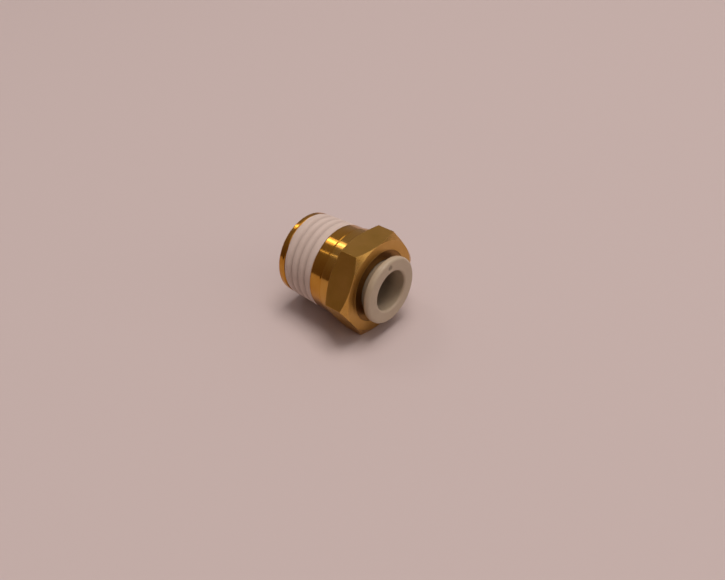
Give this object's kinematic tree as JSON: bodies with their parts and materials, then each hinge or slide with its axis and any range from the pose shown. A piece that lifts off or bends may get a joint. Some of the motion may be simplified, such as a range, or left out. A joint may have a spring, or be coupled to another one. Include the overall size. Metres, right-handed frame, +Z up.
{
  "type": "push to connect fitting",
  "caption": "Straight push to connect tube fitting with a sealed male taper thread, a hexagon, and a release button that opens gripping claws.",
  "frame": {"origin": "under the middle of the fitting, on the plane of the hexagon's lower flat", "axes": "+X along the fitting's axis towards the tube end, +Z up, at right angles to the hexagon's upper flat"},
  "size_m": [0.017, 0.0162, 0.014],
  "materials": {
    "brass": "turned, bright on the collar and satin on the flats",
    "sealant": "matte white film",
    "seal_rubber": "matte black",
    "ring_plastic": "moulded",
    "chuck_steel": "stamped stainless",
    "guide_brass": "turned, dull",
    "button_plastic": "satin moulded light grey"
  },
  "bodies": {
    "fitting": {"body": "brass", "thread_sealant": "sealant", "seal": "seal_rubber", "backing_ring": "ring_plastic", "guide_sleeve": "guide_brass"},
    "cartridge": {"collet": "ring_plastic", "chuck_ring": "chuck_steel"},
    "button": {"release_button": "button_plastic"},
    "claw_01": {"chuck_claw_01": "chuck_steel"},
    "claw_02": {"chuck_claw_02": "chuck_steel"},
    "claw_03": {"chuck_claw_03": "chuck_steel"},
    "claw_04": {"chuck_claw_04": "chuck_steel"},
    "claw_05": {"chuck_claw_05": "chuck_steel"},
    "claw_06": {"chuck_claw_06": "chuck_steel"},
    "claw_07": {"chuck_claw_07": "chuck_steel"},
    "claw_08": {"chuck_claw_08": "chuck_steel"},
    "claw_09": {"chuck_claw_09": "chuck_steel"},
    "claw_10": {"chuck_claw_10": "chuck_steel"},
    "claw_11": {"chuck_claw_11": "chuck_steel"},
    "claw_12": {"chuck_claw_12": "chuck_steel"}
  },
  "joints": [
    {"name": "cartridge_swivel", "type": "hinge", "parent": "fitting", "child": "cartridge", "pos_m": [0, 0, 0.007], "axis": [1, 0, 0], "continuous": true},
    {"name": "button_press", "type": "slide", "parent": "cartridge", "child": "button", "axis": [-1, 0, 0], "range_m": [0, 0.0009], "stiffness_N_per_m": 6000},
    {"name": "claw_01_hinge", "type": "hinge", "parent": "cartridge", "child": "claw_01", "pos_m": [0.00187, 0.0043, 0.007], "axis": [0, 0, -1], "range_deg": [0, 22]},
    {"name": "claw_02_hinge", "type": "hinge", "parent": "cartridge", "child": "claw_02", "pos_m": [0.00187, 0.00372, 0.00915], "axis": [0, 0.5, -0.866], "range_deg": [0, 22]},
    {"name": "claw_03_hinge", "type": "hinge", "parent": "cartridge", "child": "claw_03", "pos_m": [0.00187, 0.00215, 0.01072], "axis": [0, 0.866, -0.5], "range_deg": [0, 22]},
    {"name": "claw_04_hinge", "type": "hinge", "parent": "cartridge", "child": "claw_04", "pos_m": [0.00187, 0, 0.0113], "axis": [0, 1, 0], "range_deg": [0, 22]},
    {"name": "claw_05_hinge", "type": "hinge", "parent": "cartridge", "child": "claw_05", "pos_m": [0.00187, -0.00215, 0.01072], "axis": [0, 0.866, 0.5], "range_deg": [0, 22]},
    {"name": "claw_06_hinge", "type": "hinge", "parent": "cartridge", "child": "claw_06", "pos_m": [0.00187, -0.00372, 0.00915], "axis": [0, 0.5, 0.866], "range_deg": [0, 22]},
    {"name": "claw_07_hinge", "type": "hinge", "parent": "cartridge", "child": "claw_07", "pos_m": [0.00187, -0.0043, 0.007], "axis": [0, 0, 1], "range_deg": [0, 22]},
    {"name": "claw_08_hinge", "type": "hinge", "parent": "cartridge", "child": "claw_08", "pos_m": [0.00187, -0.00372, 0.00485], "axis": [0, -0.5, 0.866], "range_deg": [0, 22]},
    {"name": "claw_09_hinge", "type": "hinge", "parent": "cartridge", "child": "claw_09", "pos_m": [0.00187, -0.00215, 0.00328], "axis": [0, -0.866, 0.5], "range_deg": [0, 22]},
    {"name": "claw_10_hinge", "type": "hinge", "parent": "cartridge", "child": "claw_10", "pos_m": [0.00187, 0, 0.0027], "axis": [0, -1, 0], "range_deg": [0, 22]},
    {"name": "claw_11_hinge", "type": "hinge", "parent": "cartridge", "child": "claw_11", "pos_m": [0.00187, 0.00215, 0.00328], "axis": [0, -0.866, -0.5], "range_deg": [0, 22]},
    {"name": "claw_12_hinge", "type": "hinge", "parent": "cartridge", "child": "claw_12", "pos_m": [0.00187, 0.00372, 0.00485], "axis": [0, -0.5, -0.866], "range_deg": [0, 22]}
  ],
  "couplings": [
    {"joint": "claw_01_hinge", "follows": "button_press", "rad_per_m": 426.6},
    {"joint": "claw_02_hinge", "follows": "button_press", "rad_per_m": 426.6},
    {"joint": "claw_03_hinge", "follows": "button_press", "rad_per_m": 426.6},
    {"joint": "claw_04_hinge", "follows": "button_press", "rad_per_m": 426.6},
    {"joint": "claw_05_hinge", "follows": "button_press", "rad_per_m": 426.6},
    {"joint": "claw_06_hinge", "follows": "button_press", "rad_per_m": 426.6},
    {"joint": "claw_07_hinge", "follows": "button_press", "rad_per_m": 426.6},
    {"joint": "claw_08_hinge", "follows": "button_press", "rad_per_m": 426.6},
    {"joint": "claw_09_hinge", "follows": "button_press", "rad_per_m": 426.6},
    {"joint": "claw_10_hinge", "follows": "button_press", "rad_per_m": 426.6},
    {"joint": "claw_11_hinge", "follows": "button_press", "rad_per_m": 426.6},
    {"joint": "claw_12_hinge", "follows": "button_press", "rad_per_m": 426.6}
  ]
}
